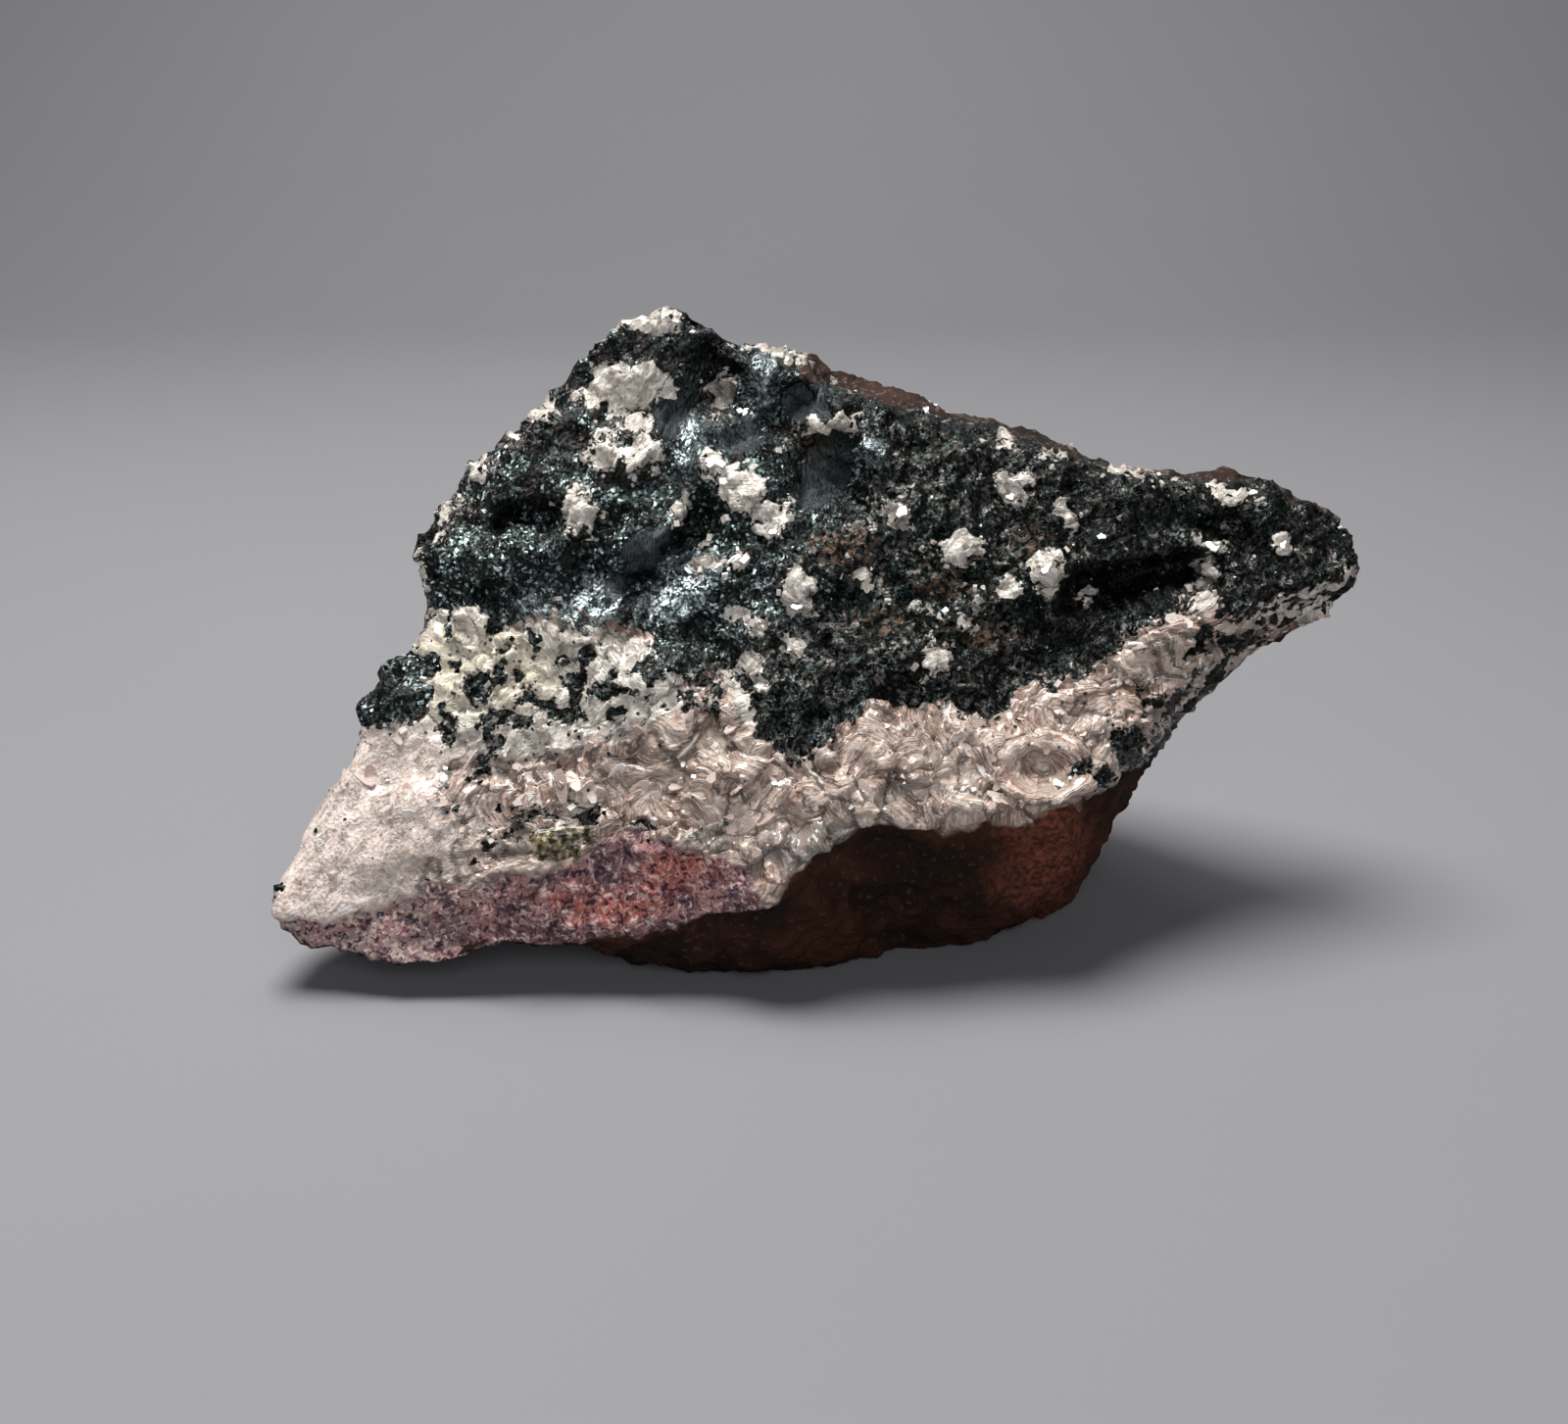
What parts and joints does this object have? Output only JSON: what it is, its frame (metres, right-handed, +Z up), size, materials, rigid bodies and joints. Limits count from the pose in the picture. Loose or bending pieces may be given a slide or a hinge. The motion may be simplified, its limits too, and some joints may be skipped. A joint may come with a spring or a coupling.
{
  "type": "berzelianite specimen",
  "caption": "Hand-sized rock specimen: a glittering black selenide mass on a band of pink-white platy calcite, over a brown weathered underside with a small flat spot to rest on.",
  "frame": {"origin": "centre of the flat resting spot", "axes": "+X to the right as seen from the side that shows the minerals, +Y to the back, +Z up"},
  "size_m": [0.1332, 0.0684, 0.0759],
  "materials": {
    "rock": "rough, with glittering black crystal grains and pearly calcite cleavages"
  },
  "bodies": {
    "root": {"specimen": "rock"}
  },
  "joints": []
}
